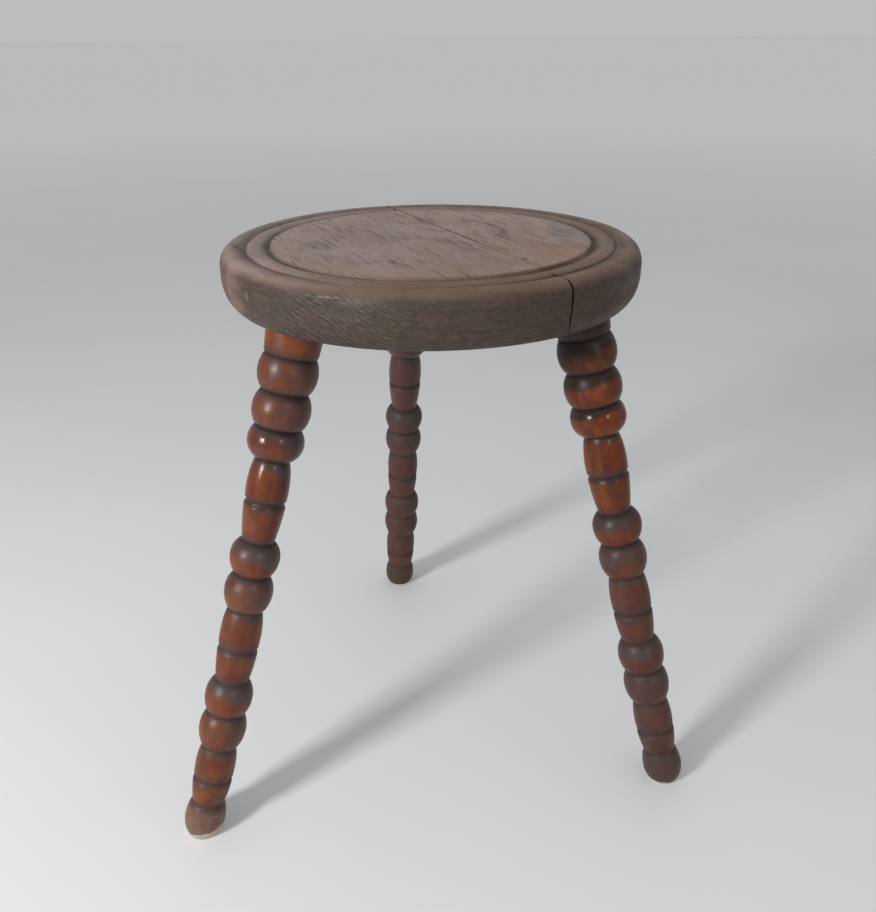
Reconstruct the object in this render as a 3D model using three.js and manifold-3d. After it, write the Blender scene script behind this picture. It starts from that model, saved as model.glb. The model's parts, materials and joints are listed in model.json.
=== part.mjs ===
// Three leg stool: a turned two-board seat on splayed, bobbin-turned legs.
// Millimetres, +Z up, the floor at z = 0 and the person facing the stool on the -Y side.
import * as THREE from 'three';
import { mergeVertices } from 'three/addons/utils/BufferGeometryUtils.js';
import Module from 'manifold-3d';

// Seat
const SEAT_HEIGHT = 450;           // floor to the top of the seat
const SEAT_THICKNESS = 40.3;
const SEAT_RADIUS = 157.2;         // widest, half way down the rounded edge
const SEAT_UNDERSIDE = SEAT_HEIGHT - SEAT_THICKNESS;
const UNDERSIDE_RADIUS = 145;      // where the rounded edge meets the flat underside
const SEAT_SEGMENTS = 72;

// Rings turned into the top of the seat, as radius and depth below the top
const DISC_EDGE = { radius: 119.1, depth: 0 };
const INNER_GROOVE = { radius: 121, depth: 2.4 };
const BAND_START = { radius: 124.6, depth: 1.5 };
const BAND_CREST = { radius: 130.8, depth: 0.3 };
const BAND_END = { radius: 136.5, depth: 1.5 };
const OUTER_GROOVE = { radius: 137.5, depth: 2 };
const RIM_START = { radius: 139.3, depth: 1.3 };
const RIM_CREST = { radius: 147.5, depth: 0.6 };
const EDGE_TOP_DEPTH = 12;         // the upper rounding of the edge ends here
const EDGE_LOW_DEPTH = 17;         // and the larger, lower rounding starts here
const EDGE_STEPS = 5;

// The straight joint between the two boards, and the dowels across it
const JOINT_ANGLE = THREE.MathUtils.degToRad(25.2);   // direction square to the joint
const JOINT_OFFSET = 25;                              // from the seat axis to the joint
const JOINT_GAP = 0.6;
const DOWEL_RADIUS = 5;
const DOWEL_LENGTH = 56;
const DOWEL_ALONG = [-105, -25, 60];                  // places along the joint, front to rear
const DOWEL_NAMES = ['joint_dowel_front', 'joint_dowel_middle', 'joint_dowel_rear'];

// Legs: where each axis passes the ball of the foot and the underside of the seat
const LEGS = [
  { name: 'leg_front_left', topRadius: 116.3, topAngle: -144.1, footRadius: 235.8, footAngle: -143.4 },
  { name: 'leg_front_right', topRadius: 117.1, topAngle: -23.5, footRadius: 214.9, footAngle: -24.1 },
  { name: 'leg_rear', topRadius: 119.6, topAngle: 99.9, footRadius: 229.4, footAngle: 100.3 },
];
const FOOT_HEIGHT = 13.5;          // ball of the foot above the floor, flat sole below it
const LEG_SEGMENTS = 20;
const TENON_RADIUS = 12.5;
const TENON_LENGTH = 27;
const CLEARANCE = 0.3;             // between every two touching pieces

// Turned shape of a leg, from the foot up: height above the ball of the foot, and radius
const FOOT_BALL = { height: 0, radius: 16.9, under: 21 };
const CUP = { bottom: 388.5, bottomRadius: 20.2, topRadius: 23, above: 45 };
const ANKLE = [15.5, 12.8];
const BARRELS = [
  { low: ANKLE, groove: 38.5, wide: [48.5, 16.1], high: [67, 13.1] },
  { low: [127, 13.1], groove: 155, wide: [165, 16.2], high: [187.3, 13.2] },
  { low: [244.5, 12.6], groove: 276, wide: [284, 16.4], high: [308.5, 12.8] },
];
const GROOVE_DEPTH = 1.4;
const GROOVE_HALF_WIDTH = 2.5;
const BEADS = [
  [{ crest: [84, 18.7], next: [97.8, 14.2] }, { crest: [112.4, 18.9], next: [127, 13.1] }],
  [{ crest: [203.2, 19], next: [216.7, 13.4] }, { crest: [231.5, 19.4], next: [244.5, 12.6] }],
  [
    { crest: [322.2, 21.5], next: [333.2, 17.2] },
    { crest: [346.2, 22.1], next: [359.8, 17.2] },
    { crest: [373.8, 22.4], next: [386.4, 19] },
  ],
];
const BEAD_ARC = Math.PI / 3;      // the arc of a bead from its crest down to a valley
const BARREL_ARC = 1.22;           // the same for the upper end of a barrel
const BEAD_STEPS = 3;              // straight steps in each of those arcs
const BARREL_STEPS = 2;            // and in the lower end of a barrel

const oak = new THREE.MeshStandardMaterial({ color: 0x7b6757, roughness: 0.75, metalness: 0 });
const varnished = new THREE.MeshStandardMaterial({ color: 0x7a3312, roughness: 0.3, metalness: 0 });
const dowelWood = new THREE.MeshStandardMaterial({ color: 0xc3a071, roughness: 0.8, metalness: 0 });

const wasm = await Module();
wasm.setup();

function toSolid(geometry) {
  geometry.deleteAttribute('normal');
  geometry.deleteAttribute('uv');
  const merged = mergeVertices(geometry, 1e-4);
  return new wasm.Manifold(new wasm.Mesh({
    numProp: 3,
    vertProperties: new Float32Array(merged.attributes.position.array),
    triVerts: new Uint32Array(merged.index.array),
  }));
}

function toMesh(name, solid, material) {
  const { vertProperties, triVerts } = solid.getMesh();
  const geometry = new THREE.BufferGeometry();
  geometry.setAttribute('position', new THREE.BufferAttribute(vertProperties, 3));
  geometry.setIndex(new THREE.BufferAttribute(triVerts, 1));
  geometry.computeVertexNormals();
  const mesh = new THREE.Mesh(geometry, material);
  mesh.name = name;
  return mesh;
}

// A turned solid about +Z from [radius, height] points that start and end on the axis, bottom first.
function turned(points, segments) {
  const profile = points.map(([radius, height]) => new THREE.Vector2(radius, height));
  return new THREE.LatheGeometry(profile, segments).rotateX(Math.PI / 2);
}

// A cylinder that runs along +Z from z = from to z = to.
function rod(radius, from, to, segments) {
  return turned([[0, from], [radius, from], [radius, to], [0, to]], segments);
}

// Points on an elliptic arc that leaves the crest of a bead and drops to the valley beside it.
function halfBead([crestHeight, crestRadius], [valleyHeight, valleyRadius], arc = BEAD_ARC) {
  const points = [];
  for (let step = 1; step <= BEAD_STEPS; step++) {
    const angle = (step / BEAD_STEPS) * arc;
    const along = Math.sin(angle) / Math.sin(arc);
    const drop = (1 - Math.cos(angle)) / (1 - Math.cos(arc));
    const height = crestHeight + (valleyHeight - crestHeight) * along;
    points.push([crestRadius + (valleyRadius - crestRadius) * drop, height]);
  }
  return points;
}

// Points after the start of a gently swollen taper, up to its end.
function taper([startHeight, startRadius], [endHeight, endRadius], swell) {
  const points = [];
  for (let step = 1; step <= BARREL_STEPS; step++) {
    const t = step / BARREL_STEPS;
    const radius = startRadius + (endRadius - startRadius) * t + swell * Math.sin(Math.PI * t);
    points.push([radius, startHeight + (endHeight - startHeight) * t]);
  }
  return points;
}

function barrel({ low, groove, wide, high }) {
  const lipRadius = wide[1] - 0.2;
  return [
    ...taper(low, [groove - GROOVE_HALF_WIDTH, lipRadius], 0.5),
    [lipRadius - GROOVE_DEPTH, groove],
    [lipRadius, groove + GROOVE_HALF_WIDTH],
    [wide[1], wide[0]],
    ...halfBead(wide, high, BARREL_ARC),
  ];
}

function legProfile() {
  const ball = [FOOT_BALL.height, FOOT_BALL.radius];
  const underside = halfBead(ball, [-FOOT_BALL.under, 0], Math.PI / 2).reverse();
  const points = [...underside, [ball[1], ball[0]], ...halfBead(ball, ANKLE)];
  BARRELS.forEach((shape, index) => {
    points.push(...barrel(shape));
    let valley = shape.high;
    for (const { crest, next } of BEADS[index]) {
      points.push(...halfBead(crest, valley).reverse().slice(1));
      points.push([crest[1], crest[0]], ...halfBead(crest, next));
      valley = next;
    }
  });
  const cupTop = CUP.bottom + CUP.above;
  points.push([CUP.bottomRadius, CUP.bottom], [CUP.topRadius, cupTop], [0, cupTop]);
  return points;
}

// Placement of a leg: its origin at the ball of the foot and its +Z up along the leg.
function legPlacement({ topRadius, topAngle, footRadius, footAngle }) {
  const polar = (radius, degrees, z) => {
    const angle = THREE.MathUtils.degToRad(degrees);
    return new THREE.Vector3(radius * Math.cos(angle), radius * Math.sin(angle), z);
  };
  const foot = polar(footRadius, footAngle, FOOT_HEIGHT);
  const top = polar(topRadius, topAngle, SEAT_UNDERSIDE);
  const along = top.clone().sub(foot);
  const turn = new THREE.Quaternion().setFromUnitVectors(
    new THREE.Vector3(0, 0, 1), along.clone().normalize());
  return { foot, turn, length: along.length() };
}

// A leg is one turning: its sole is flat on the floor, its shoulder is scribed to the underside
// of the seat, and a round tenon goes up into the seat.
function legSolid({ foot, turn, length }) {
  const intoLeg = new THREE.Matrix4().compose(foot, turn, new THREE.Vector3(1, 1, 1)).invert();
  const shoulder = SEAT_UNDERSIDE - CLEARANCE;
  const slab = new THREE.BoxGeometry(1000, 1000, shoulder)
    .translate(0, 0, shoulder / 2)
    .applyMatrix4(intoLeg);
  const turning = toSolid(turned(legProfile(), LEG_SEGMENTS)).intersect(toSolid(slab));
  const tenon = rod(TENON_RADIUS, length - 15, length + TENON_LENGTH, LEG_SEGMENTS);
  return turning.add(toSolid(tenon));
}

function mortise({ foot, turn, length }) {
  const reach = length + TENON_LENGTH + CLEARANCE;
  const bore = rod(TENON_RADIUS + CLEARANCE, length - 20, reach, LEG_SEGMENTS);
  return toSolid(bore.applyQuaternion(turn).translate(foot.x, foot.y, foot.z));
}

// Points along a quarter of the rounded edge, from its widest to its end.
function edgeRounding(widestDepth, end) {
  const points = [];
  for (let step = 0; step <= EDGE_STEPS; step++) {
    const angle = (step / EDGE_STEPS) * (Math.PI / 2);
    const radius = end.radius + (SEAT_RADIUS - end.radius) * Math.cos(angle);
    const depth = widestDepth + (end.depth - widestDepth) * Math.sin(angle);
    points.push([radius, SEAT_HEIGHT - depth]);
  }
  return points;
}

function seatProfile() {
  const at = ({ radius, depth }) => [radius, SEAT_HEIGHT - depth];
  const underside = { radius: UNDERSIDE_RADIUS, depth: SEAT_THICKNESS };
  return [
    [0, SEAT_UNDERSIDE],
    ...edgeRounding(EDGE_LOW_DEPTH, underside).reverse(),
    ...edgeRounding(EDGE_TOP_DEPTH, RIM_CREST),
    at(RIM_START),
    at(OUTER_GROOVE),
    at(BAND_END),
    at(BAND_CREST),
    at(BAND_START),
    at(INNER_GROOVE),
    at(DISC_EDGE),
    [0, SEAT_HEIGHT],
  ];
}

// A dowel's frame: its own +Z runs square across the joint.
function dowelPlacement(along) {
  const across = new THREE.Vector3(Math.cos(JOINT_ANGLE), Math.sin(JOINT_ANGLE), 0);
  const down = new THREE.Vector3(-across.y, across.x, 0);
  const centre = across.clone().multiplyScalar(JOINT_OFFSET).addScaledVector(down, along);
  centre.z = SEAT_HEIGHT - SEAT_THICKNESS / 2;
  const turn = new THREE.Quaternion().setFromUnitVectors(new THREE.Vector3(0, 0, 1), across);
  return { centre, turn };
}

function dowelHole({ centre, turn }) {
  const reach = DOWEL_LENGTH / 2 + CLEARANCE;
  const bore = rod(DOWEL_RADIUS + CLEARANCE, -reach, reach, 16);
  return toSolid(bore.applyQuaternion(turn).translate(centre.x, centre.y, centre.z));
}

// Everything on one side of the joint: side -1 holds the seat axis, side +1 is the narrow side.
function sideOfJoint(side) {
  const size = 500;
  const near = JOINT_OFFSET + side * (JOINT_GAP / 2);
  const block = new THREE.BoxGeometry(size, size, size)
    .translate(near + side * (size / 2), 0, SEAT_HEIGHT)
    .rotateZ(JOINT_ANGLE);
  return toSolid(block);
}

const legPlacements = LEGS.map(legPlacement);
const dowelPlacements = DOWEL_ALONG.map(dowelPlacement);

let seat = toSolid(turned(seatProfile(), SEAT_SEGMENTS));
for (const placement of legPlacements) seat = seat.subtract(mortise(placement));
for (const placement of dowelPlacements) seat = seat.subtract(dowelHole(placement));

const frame = new THREE.Group();
frame.add(toMesh('seat_board_wide', seat.intersect(sideOfJoint(-1)), oak));
frame.add(toMesh('seat_board_narrow', seat.intersect(sideOfJoint(1)), oak));

LEGS.forEach(({ name }, index) => {
  const placement = legPlacements[index];
  const leg = toMesh(name, legSolid(placement), varnished);
  leg.position.copy(placement.foot);
  leg.quaternion.copy(placement.turn);
  frame.add(leg);
});

DOWEL_NAMES.forEach((name, index) => {
  const { centre, turn } = dowelPlacements[index];
  const pin = toSolid(rod(DOWEL_RADIUS, -DOWEL_LENGTH / 2, DOWEL_LENGTH / 2, 16));
  const dowel = toMesh(name, pin, dowelWood);
  dowel.position.copy(centre);
  dowel.quaternion.copy(turn);
  frame.add(dowel);
});

// The origin is the middle of the bottom of the whole stool's box.
const stool = new THREE.Group();
stool.add(frame);
stool.updateMatrixWorld(true);
const box = new THREE.Box3().setFromObject(frame, true);
const middle = box.getCenter(new THREE.Vector3());
frame.position.set(-middle.x, -middle.y, -box.min.z);

export default stool;
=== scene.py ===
"""Looks of the three leg stool: a weathered seat of two boards on varnished, bobbin-turned legs.

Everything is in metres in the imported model's frame, +Z up, with the viewer on the -Y side.
"""
import json
import math
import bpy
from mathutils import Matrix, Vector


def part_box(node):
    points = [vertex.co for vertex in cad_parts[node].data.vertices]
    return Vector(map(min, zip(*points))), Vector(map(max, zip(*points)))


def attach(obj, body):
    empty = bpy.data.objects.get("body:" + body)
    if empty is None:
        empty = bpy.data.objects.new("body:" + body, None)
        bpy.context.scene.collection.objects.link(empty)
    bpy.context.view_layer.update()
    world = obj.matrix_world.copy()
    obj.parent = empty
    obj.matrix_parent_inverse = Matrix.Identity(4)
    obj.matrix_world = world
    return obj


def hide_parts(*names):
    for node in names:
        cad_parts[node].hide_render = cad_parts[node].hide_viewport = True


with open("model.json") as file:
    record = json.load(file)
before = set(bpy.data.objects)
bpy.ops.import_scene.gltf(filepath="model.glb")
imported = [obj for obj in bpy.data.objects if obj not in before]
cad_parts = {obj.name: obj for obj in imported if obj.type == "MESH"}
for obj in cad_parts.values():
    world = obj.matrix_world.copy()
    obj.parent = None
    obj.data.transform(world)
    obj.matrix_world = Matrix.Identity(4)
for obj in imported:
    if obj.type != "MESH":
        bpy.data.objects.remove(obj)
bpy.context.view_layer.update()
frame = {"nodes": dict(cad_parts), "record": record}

from types import SimpleNamespace

import bpy
import numpy as np
from mathutils import Matrix, Vector, noise

MM = 0.001
MOUNTS = {mount["name"]: Vector(mount["pos_m"]) for mount in frame["record"]["mounts"]}
SEAT_CENTRE = MOUNTS["seat_top"]
LEG_SOLES = {
    "leg_front_left": MOUNTS["sole_front_left"],
    "leg_front_right": MOUNTS["sole_front_right"],
    "leg_rear": MOUNTS["sole_rear"],
}

# Seat, in millimetres. Depths are measured down from the top of the seat.
SEAT_RADIUS = 157.1
SEAT_THICKNESS = 40.3
UNDERSIDE_RADIUS = 145
RIM_CREST_RADIUS = 147.5
RIM_CREST_DEPTH = 0.6
EDGE_TOP_DEPTH = 12
EDGE_LOW_DEPTH = 17
# Radius and depth of the turned rings, from the rim inwards to the flat middle.
RING_OUTLINE = [
    (147.5, 0.6), (144.5, 0.8), (141, 1.2), (138.8, 1.8), (137.6, 2.3), (136.9, 2.2), (136.4, 1.3),
    (134, 0.6), (131, 0.3), (128.5, 0.5), (125.5, 1.2), (123, 2.1), (121.2, 2.6), (120.2, 2.3),
    (119.5, 0.7), (118.6, 0.1), (117.6, 0),
]
DISC_RADIUS = RING_OUTLINE[-1][0]
HOLLOW_RADIUS = 105          # the part of the disc worn hollow by use
HOLLOW_DEPTH = 0.25
SECTORS = 360

# The joint between the boards
JOINT_ANGLE = math.radians(25.2)
JOINT_OFFSET = 25
JOINT_GAP = 0.6
ACROSS = Vector((math.cos(JOINT_ANGLE), math.sin(JOINT_ANGLE), 0))
ALONG = Vector((-math.sin(JOINT_ANGLE), math.cos(JOINT_ANGLE), 0))

# Legs, in millimetres. Heights are measured up the leg from the ball of the foot.
FOOT_HEIGHT = 13.5
TENON_RADIUS = 12.5
TENON_LENGTH = 27
CLEARANCE = 0.3
TENON_ROOT = 12              # how far the tenon starts inside the leg
TENON_END_DEPTH = 7.5        # a raked tenon's end face lies within this of its highest point
FOOT_BALL = (0, 16.5)
FOOT_BALL_UNDER = 21
ANKLE = (15.5, 12.8)
CUP_BOTTOM = (388.5, 20.2)
CUP_TOP = (433.5, 23)
BARRELS = [
    {"low": ANKLE, "groove": 38.5, "wide": (48.5, 16.1), "high": (67, 13.1)},
    {"low": (127, 13.1), "groove": 155, "wide": (165, 16.2), "high": (187.3, 13.2)},
    {"low": (244.5, 12.6), "groove": 276, "wide": (284, 16.4), "high": (308.5, 12.8)},
]
BEADS = [
    [((84, 18.7), (97.8, 14.2)), ((112.4, 18.9), (127, 13.1))],
    [((203.2, 19), (216.7, 13.4)), ((231.5, 19.4), (244.5, 12.6))],
    [((322.2, 21.5), (333.2, 17.2)), ((346.2, 22.1), (359.8, 17.2)), ((373.8, 22.4), (386.4, 19))],
]
BEAD_ARC = math.radians(60)      # the arc of a bead from its crest down to a valley
BARREL_ARC = math.radians(70)    # the same for the upper end of a barrel
GROOVE_DEPTH = 1.4
GROOVE_HALF_WIDTH = 2.5
LIP_ROUNDING = 1.5
LEG_SECTORS = 96

# Dowels across the joint and the tool that bores the mortises, in metres
DOWEL_RADIUS = 5 * MM
DOWEL_HALF_LENGTH = 28 * MM
MORTISE_TOOL_LENGTH = 0.05

# Camera
CAMERA_BACK = 0.6888         # from the seat axis
CAMERA_HEIGHT = 0.5931
CAMERA_PITCH = 25.23         # degrees below level
CAMERA_YAW = -0.34
CAMERA_ROLL = -0.51
CAMERA_LENS = 35.87
SENSOR_WIDTH = 36

# Lights: the direction from the stool in degrees, distance and size in metres, power in watts
WINDOW = {"azimuth": -137, "elevation": 21.5, "distance": 1.75, "size": (0.28, 0.28), "power": 23}
SECOND_WINDOW = {"azimuth": -57, "elevation": 24, "distance": 2.6, "size": (0.13, 0.17), "power": 8}
LIGHT_AIM_HEIGHT = 0.3
WORLD_COLOUR = (0.985, 0.99, 1.0)
WORLD_STRENGTH = 0.51
FLOOR_HALF_SIZE = 60.0
FLOOR_DARKER = (0.745, 0.75, 0.75)
FLOOR_PALER = (0.765, 0.77, 0.77)
FLOOR_FAR = (0.97, 0.97, 0.97)

# Noises in the boards: features per millimetre across, along and up; then detail, roughness, distortion
RING_WAVES = ((0.03, 0.01, 0.03), 3.0)
RING_CROWDING = ((0.09, 0.01, 0.09), 2.0, 0.5)
RING_BREAKS = ((0.2, 0.035, 0.2), 2.0, 0.6)
STREAKS = ((0.42, 0.024, 0.42), 2.0, 0.65, 0.2)
STREAK_PLACES = ((0.035, 0.014, 0.035), 2.0)
PORES = ((1.1, 0.07, 1.1), 2.0, 0.6)
FINE_GRAIN = ((1.6, 0.12, 1.6), 3.0, 0.65)
WARM_PLACES = ((0.022, 0.012, 0.022), 2.0)
GREY_PLACES = ((0.028, 0.016, 0.03), 3.0, 0.55, 0.5)
DIRT = ((0.045, 0.045, 0.1), 3.0, 0.6)
SIDE_PATCHES = ((0.035, 0.035, 0.09), 3.0, 0.6)
WORN_HATCH = ((0.07, 0.07, 0.14), 2.0, 0.5)
MOTTLE = ((0.18, 0.18, 0.3), 4.0, 0.75)
LEVEL_LINES = ((0.03, 0.03, 0.8), 2.0, 0.6)
SWIRL_BREAKS = ((0.14, 0.06, 0.14), 3.0, 0.6)

# The same for the legs, in the two directions across the leg and then up it
FIGURE = ((0.1, 0.1, 0.02), 3.0, 0.55, 0.8)
FIBRES = ((0.9, 0.9, 0.05), 2.0, 0.6)
CLOUD = ((0.05, 0.05, 0.04), 2.0, 0.5)
BLOTCH = ((0.14, 0.14, 0.12), 3.0, 0.6)
TOOL_RINGS = ((0.02, 0.02, 1.6), 2.0, 0.6)
PEEL = ((0.4, 0.4, 0.5), 2.0, 0.5)

WOOD_RELIEF = 0.0004         # metres

# Seat colours. A tint multiplies the colour under it.
RING_SPACING = 3.0           # millimetres between growth rings
NO_TINT = (1.0, 1.0, 1.0)
NEAR_TINT = (1.0, 0.935, 0.87)
FAR_TINT = (1.1, 1.11, 1.13)
LEFT_TINT = (1.07, 1.09, 1.12)
BLOOM = (0.185, 0.155, 0.16)
RING_BROWN = (0.168, 0.105, 0.067)
RING_FRONT_TINT = (0.84, 0.79, 0.69)
EDGE_BROWN = (0.128, 0.08, 0.059)
SIDE_LEFT = (0.0455, 0.0302, 0.0235)
SIDE_RIGHT = (0.037, 0.0225, 0.015)
GREY_PATCH_TINT = (1.1, 0.94, 1.18)
BROWN_PATCH_TINT = (0.97, 1.03, 0.82)
HATCH_DARK = (0.016, 0.0115, 0.01)
HATCH_PALE = (0.13, 0.1, 0.07)
# Colour of the dirt and of the painted shade in the seat's turned rings
GROOVE_DIRT_AND_SHADE = (0.036, 0.026, 0.019)
JOINT_DIRT = (0.03, 0.022, 0.018)
SEAT_SHEEN = 0.35
# A spot rubbed bright on the left edge: its place and half size in millimetres across, along and up
POLISHED_SPOT = ((-122.5, -96, -5.7), (13, 15, 1.0))
# The swirl in the narrow board: centre and half axes of its oval in millimetres
SWIRL_CENTRE = (48.5, 18, 0)
SWIRL_HALF_AXES = (17, 32, 1000)
# Pith of each board's growth rings, in millimetres across and up
WIDE_PITH = (20, 128)
NARROW_PITH = (64, -62)

# Leg colours
VARNISH_RED = (0.155, 0.032, 0.006)
VARNISH_BROWN = (0.093, 0.0185, 0.005)
VARNISH_GOLD = (0.205, 0.056, 0.007)
VARNISH_FIBRE = (0.05, 0.010, 0.004)
VARNISH_MAROON = (0.075, 0.021, 0.016)
VARNISH_HAZE = (0.055, 0.026, 0.027)
DUST = (0.055, 0.038, 0.036)
LOW_VALLEY = (0.034, 0.0245, 0.022)
HIGH_VALLEY = (0.014, 0.010, 0.009)
BARE_SOLE = (0.41, 0.355, 0.3)
WORM_HOLE = (0.02, 0.009, 0.006)
GLOSSY_BAND = ((236, 256), (330, 352))     # heights where the gloss comes in and goes out


# ---------------------------------------------------------------- mesh helpers

def mesh_object(name, vertices, faces):
    mesh = bpy.data.meshes.new(name)
    mesh.from_pydata([tuple(v) for v in vertices], [], faces)
    mesh.validate()
    piece = bpy.data.objects.new(name, mesh)
    bpy.context.scene.collection.objects.link(piece)
    return piece


def turned(name, profile, sectors):
    """A closed turned mesh about +Z from (radius, height) points, bottom first, both ends on the axis."""
    middle = profile[1:-1]
    angles = np.arange(sectors) * (2 * math.pi / sectors)
    circle = np.stack([np.cos(angles), np.sin(angles)], 1)
    rings = [np.column_stack([circle * radius, np.full(sectors, height)]) for radius, height in middle]
    vertices = np.concatenate(rings + [[(0, 0, profile[0][1]), (0, 0, profile[-1][1])]])
    bottom = len(middle) * sectors
    faces = []
    for j in range(sectors):
        k = (j + 1) % sectors
        faces.append((bottom, k, j))
        last = (len(middle) - 1) * sectors
        faces.append((bottom + 1, last + j, last + k))
        for i in range(len(middle) - 1):
            a = i * sectors
            faces.append((a + j, a + k, a + sectors + k, a + sectors + j))
    return mesh_object(name, vertices, faces)


def positions(piece):
    points = np.empty(len(piece.data.vertices) * 3)
    piece.data.vertices.foreach_get("co", points)
    return points.reshape(-1, 3)


def set_positions(piece, points):
    piece.data.vertices.foreach_set("co", np.asarray(points, float).ravel())
    piece.data.update()


def normals(piece):
    values = np.empty(len(piece.data.vertices) * 3, np.float32)
    piece.data.vertex_normals.foreach_get("vector", values)
    return values.reshape(-1, 3)


def boolean(piece, tool, operation):
    modifier = piece.modifiers.new(operation, "BOOLEAN")
    modifier.operation = operation
    modifier.solver = "EXACT"
    modifier.object = tool
    graph = bpy.context.evaluated_depsgraph_get()
    mesh = bpy.data.meshes.new_from_object(piece.evaluated_get(graph))
    piece.modifiers.clear()
    piece.data = mesh
    bpy.data.objects.remove(tool)


def rod(radius, start, end, sectors=48):
    """A cylinder between two points."""
    axis = end - start
    piece = turned("tool", [(0, 0), (radius, 0), (radius, axis.length), (0, axis.length)], sectors)
    piece.data.transform(Matrix.Translation(start) @ axis.to_track_quat("Z", "Y").to_matrix().to_4x4())
    return piece


def block(low, high, turn=None):
    """A box between two corners, turned about +Z through the seat's centre if asked."""
    corners = [(x, y, z) for x in (low[0], high[0]) for y in (low[1], high[1]) for z in (low[2], high[2])]
    faces = [(0, 1, 3, 2), (4, 6, 7, 5), (0, 4, 5, 1), (2, 3, 7, 6), (0, 2, 6, 4), (1, 5, 7, 3)]
    piece = mesh_object("tool", corners, faces)
    if turn is not None:
        centre = Matrix.Translation(SEAT_CENTRE)
        piece.data.transform(centre @ Matrix.Rotation(turn, 4, "Z") @ centre.inverted())
    return piece


def add_values(piece, name, values):
    """Stores one number or one vector on each vertex, for a material to read."""
    values = np.asarray(values, np.float32)
    kind, key = ("FLOAT", "value") if values.ndim == 1 else ("FLOAT_VECTOR", "vector")
    attribute = piece.data.attributes.new(name, kind, "POINT")
    attribute.data.foreach_set(key, values.ravel())


def finish_piece(piece, node, material, sharp_degrees):
    piece.name = node + "_look"
    piece.data.name = piece.name
    piece.data.materials.clear()
    piece.data.materials.append(material)
    piece.data.shade_smooth()
    piece.data.set_sharp_from_angle(angle=math.radians(sharp_degrees))
    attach(piece, "root")
    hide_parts(node)


def smooth_noise(points, scale, seed):
    """Perlin noise from -1 to 1 at each point, with features about `scale` long."""
    offset = Vector((seed * 7.13, seed * 3.71, seed * 5.39))
    return np.array([noise.noise(Vector(p) / scale + offset) for p in points])


# ---------------------------------------------------------------- material helpers

class Shader:
    """A node material, with short calls that make a node and return its output socket."""

    def __init__(self, name):
        self.material = bpy.data.materials.new(name)
        self.material.use_nodes = True
        self.tree = self.material.node_tree
        self.surface = self.tree.nodes["Principled BSDF"]

    def node(self, kind, inputs, **settings):
        made = self.tree.nodes.new(kind)
        for key, value in settings.items():
            setattr(made, key, value)
        for key, value in inputs.items():
            if isinstance(value, bpy.types.NodeSocket):
                self.tree.links.new(value, made.inputs[key])
            elif value is not None:
                made.inputs[key].default_value = value
        return made

    def set(self, **inputs):
        for key, value in inputs.items():
            socket = self.surface.inputs[key.replace("_", " ")]
            if isinstance(value, bpy.types.NodeSocket):
                self.tree.links.new(value, socket)
            else:
                socket.default_value = value

    def value(self, name):
        return self.node("ShaderNodeAttribute", {}, attribute_name=name).outputs["Fac"]

    def vector(self, name):
        return self.node("ShaderNodeAttribute", {}, attribute_name=name).outputs["Vector"]

    def math(self, operation, a, b=None, c=None):
        return self.node("ShaderNodeMath", {0: a, 1: b, 2: c}, operation=operation).outputs[0]

    def product(self, *factors):
        """The product of a socket and one or more sockets or numbers."""
        result = factors[0]
        for factor in factors[1:]:
            result = self.math("MULTIPLY", result, factor)
        return result

    def split(self, vector):
        return tuple(self.node("ShaderNodeSeparateXYZ", {0: vector}).outputs)

    def length(self, vector):
        return self.node("ShaderNodeVectorMath", {0: vector}, operation="LENGTH").outputs["Value"]

    def offset(self, vector, origin):
        inputs = {0: vector, 1: origin}
        return self.node("ShaderNodeVectorMath", inputs, operation="SUBTRACT").outputs[0]

    def stretch(self, vector, factors):
        inputs = {0: vector, 1: factors}
        return self.node("ShaderNodeVectorMath", inputs, operation="MULTIPLY").outputs[0]

    def noise(self, vector, factors=(1, 1, 1), detail=2.0, roughness=0.5, distortion=0.0):
        inputs = {
            "Vector": self.stretch(vector, factors), "Scale": 1.0, "Detail": detail,
            "Roughness": roughness, "Distortion": distortion,
        }
        return self.node("ShaderNodeTexNoise", inputs).outputs["Fac"]

    def span(self, value, low, high, to_low=0.0, to_high=1.0):
        """value mapped smoothly from low..high to to_low..to_high, and held there outside."""
        inputs = {"Value": value, "From Min": low, "From Max": high, "To Min": to_low, "To Max": to_high}
        made = self.node("ShaderNodeMapRange", inputs, interpolation_type="SMOOTHSTEP")
        return made.outputs["Result"]

    def turn_span(self, turn, low, high, to_low=0.0, to_high=1.0):
        """The same as span for an angle, with low and high in degrees."""
        return self.span(turn, math.radians(low), math.radians(high), to_low, to_high)

    def mix(self, share, a, b, blend="MIX"):
        made = self.node("ShaderNodeMix", {}, data_type="RGBA", blend_type=blend)
        for socket, value in ((made.inputs[0], share), (made.inputs[6], a), (made.inputs[7], b)):
            if isinstance(value, bpy.types.NodeSocket):
                self.tree.links.new(value, socket)
            else:
                socket.default_value = (*value, 1) if isinstance(value, tuple) else value
        return made.outputs[2]

    def tint(self, colour, factor, share=1.0):
        """colour multiplied by another one, by a share from 0 to 1."""
        return self.mix(share, colour, factor, "MULTIPLY")

    def grey(self, value):
        """The grey colour with a number's value."""
        return self.node("ShaderNodeCombineColor", {0: value, 1: value, 2: value}).outputs[0]

    def bump(self, height, distance, strength):
        inputs = {"Height": height, "Distance": distance, "Strength": strength}
        return self.node("ShaderNodeBump", inputs).outputs["Normal"]

    def near(self, vector, centre, size, soft=0.5):
        """1 inside an ellipsoid at centre with half axes size, fading to 0 across its edge."""
        offset = self.offset(vector, centre)
        distance = self.length(self.stretch(offset, tuple(1 / s for s in size)))
        return self.span(distance, 1 - soft, 1 + soft, 1.0, 0.0)


# ---------------------------------------------------------------- seat

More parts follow.
